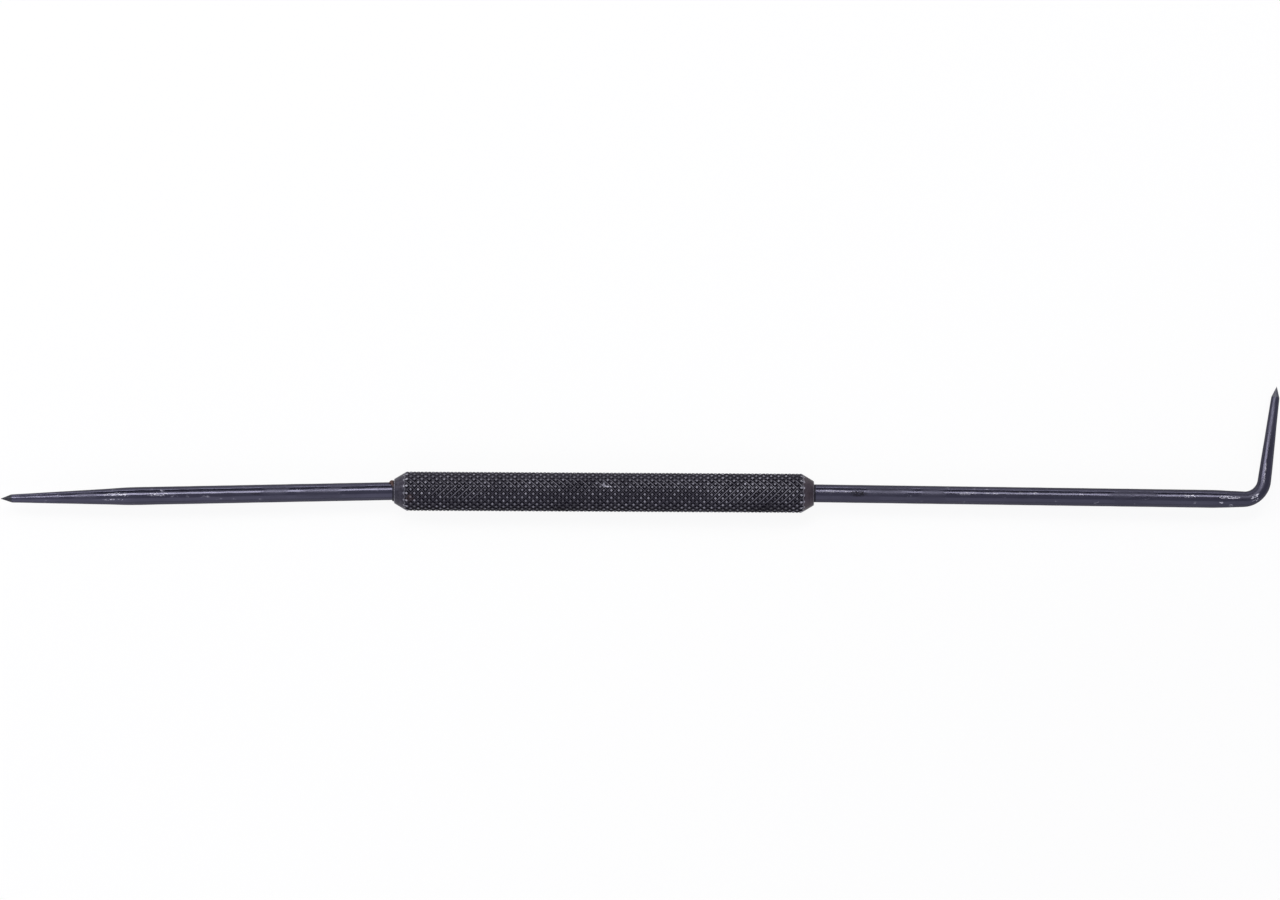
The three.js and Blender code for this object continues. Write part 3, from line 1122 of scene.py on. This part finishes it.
class SCRIBER_OT_crust(bpy.types.Operator):
    """Make the rust and dirt that has gathered where the straight needle enters the grip"""

    bl_idname = "scriber.crust"
    bl_label = "Crust at the Mouth"

    def execute(self, context):
        scene = context.scene
        # angles run over the top of the needle, from the side away from the hook
        lumps = [
            (math.radians(160), 0.3 * MM, 0.28 * MM),
            (math.radians(140), 0.14 * MM, 0.2 * MM),
            (math.radians(-4), 0.22 * MM, 0.16 * MM),
        ]
        mesh = crust_mesh("mouth_crust", scene.scriber_needles, lumps, seed=5)
        add_piece("mouth_crust", mesh, straight_frame(scene), crust_finish(scene), "blackened_steel")
        return {"FINISHED"}


def area_light(name, radiance, width, height, place, facing, slant):
    """A rectangular light, its width along X but for slant, a turn about the way that it faces."""
    light = bpy.data.lights.new(name, "AREA")
    light.shape = "RECTANGLE"
    light.size = width
    light.size_y = height
    light.energy = math.pi * width * height * radiance
    lamp = bpy.data.objects.new(name, light)
    lamp.location = place
    lamp.rotation_euler = Vector(facing).to_track_quat("-Z", "Y").to_euler()
    lamp.rotation_euler.rotate_axis("Z", slant)
    lamp.visible_camera = False
    bpy.context.scene.collection.objects.link(lamp)
    return light


def sheet(name, corners, material):
    """A flat piece of the stage with four corners."""
    mesh = mesh_from(name, np.array(corners), [np.array([[0, 1, 2, 3]])])
    mesh.materials.append(material)
    made = bpy.data.objects.new(name, mesh)
    bpy.context.scene.collection.objects.link(made)
    return made


def floor_material(studio):
    """A pale floor. What the camera and reflections see is mostly its plain colour, with a faint shadow."""
    finish = Finish("pale_floor")
    path = finish.node("ShaderNodeLightPath", output="Is Camera Ray")
    glossy = Wire(finish, path.socket.node.outputs["Is Glossy Ray"])
    through = Wire(finish, path.socket.node.outputs["Is Transmission Ray"])
    seen = path.most(glossy).most(through)
    lit = finish.node("ShaderNodeBsdfDiffuse", inputs={"Color": studio.floor_colour})
    plain = finish.node("ShaderNodeEmission", inputs={"Color": (1.0, 1.0, 1.0), "Strength": 1.0})
    plain_share = 0.9
    inputs = {0: seen * plain_share, 1: lit, 2: plain}
    return finish.made_of(finish.node("ShaderNodeMixShader", inputs=inputs))


def card_material(studio):
    finish = Finish("dark_card")
    return finish.made_of(finish.node("ShaderNodeBsdfDiffuse", inputs={"Color": studio.card_colour}))


class SCRIBER_OT_stage(bpy.types.Operator):
    """Set the floor, the studio lights and the camera"""

    bl_idname = "scriber.stage"
    bl_label = "Stage"

    def execute(self, context):
        scene = context.scene
        studio = scene.scriber_studio
        floor = sheet("floor", FLOOR, floor_material(studio))

        # the strip light hangs behind the tool in two halves, and the dark cards edge its highlights
        for name, setting, share, width, height, place, facing, degrees in LIGHTS:
            radiance = getattr(studio, setting) * share
            light = area_light(name, radiance, width, height, place, facing, math.radians(degrees))
            if setting == "strip":
                light.color = studio.strip_colour
        dark = card_material(studio)
        for name, corners in CARDS.items():
            card = sheet(name, corners, dark)
            card.visible_camera = False

        world = bpy.data.worlds.new("studio")
        world.use_nodes = True
        background = world.node_tree.nodes["Background"]
        background.inputs["Color"].default_value = (*studio.room_colour, 1.0)
        background.inputs["Strength"].default_value = studio.surroundings
        scene.world = world
        scene.view_settings.view_transform = "Standard"

        camera = bpy.data.cameras.new("camera")
        camera.lens = studio.lens
        camera.sensor_width = studio.sensor
        camera.sensor_fit = "HORIZONTAL"
        camera.clip_end = 20.0
        holder = bpy.data.objects.new("camera", camera)
        x, y = off_grip_middle(scene, (PHOTO_WIDTH / 2, PHOTO_HEIGHT / 2))
        distance = PHOTO_WIDTH / PHOTO_PIXELS_PER_METRE * studio.lens / studio.sensor
        holder.location = (GRIP_MIDDLE.x + x, GRIP_MIDDLE.y + y, GRIP_MIDDLE.z + distance)
        holder.rotation_euler = (0, 0, studio.camera_turn)
        scene.collection.objects.link(holder)
        scene.camera = holder
        return {"FINISHED"}


class SCRIBER_PT_panel(bpy.types.Panel):
    """Lists what makes the scriber and its stage"""

    bl_idname = "SCRIBER_PT_panel"
    bl_label = "Scriber"
    bl_space_type = "VIEW_3D"
    bl_region_type = "UI"
    bl_category = "Scriber"

    def draw(self, context):
        for group in GROUPS:
            settings = getattr(context.scene, group)
            box = self.layout.box()
            for name in settings.bl_rna.properties.keys():
                if name not in ("rna_type", "name"):
                    box.prop(settings, name)
        for operator in OPERATORS:
            self.layout.operator(operator.bl_idname)


GROUPS = {
    "scriber_grip": ScriberGrip,
    "scriber_needles": ScriberNeedles,
    "scriber_finish": ScriberFinish,
    "scriber_studio": ScriberStudio,
}
OPERATORS = (
    SCRIBER_OT_grip,
    SCRIBER_OT_straight_needle,
    SCRIBER_OT_bent_needle,
    SCRIBER_OT_crust,
    SCRIBER_OT_stage,
)
CLASSES = (*GROUPS.values(), *OPERATORS, SCRIBER_PT_panel)


def register():
    for made in CLASSES:
        bpy.utils.register_class(made)
    for name, group in GROUPS.items():
        setattr(bpy.types.Scene, name, PointerProperty(type=group))


def unregister():
    for name in GROUPS:
        delattr(bpy.types.Scene, name)
    for made in reversed(CLASSES):
        bpy.utils.unregister_class(made)


def main():
    register()
    bpy.ops.scriber.grip()
    bpy.ops.scriber.straight_needle()
    bpy.ops.scriber.bent_needle()
    bpy.ops.scriber.crust()
    bpy.ops.scriber.stage()


if __name__ == "__main__":
    main()
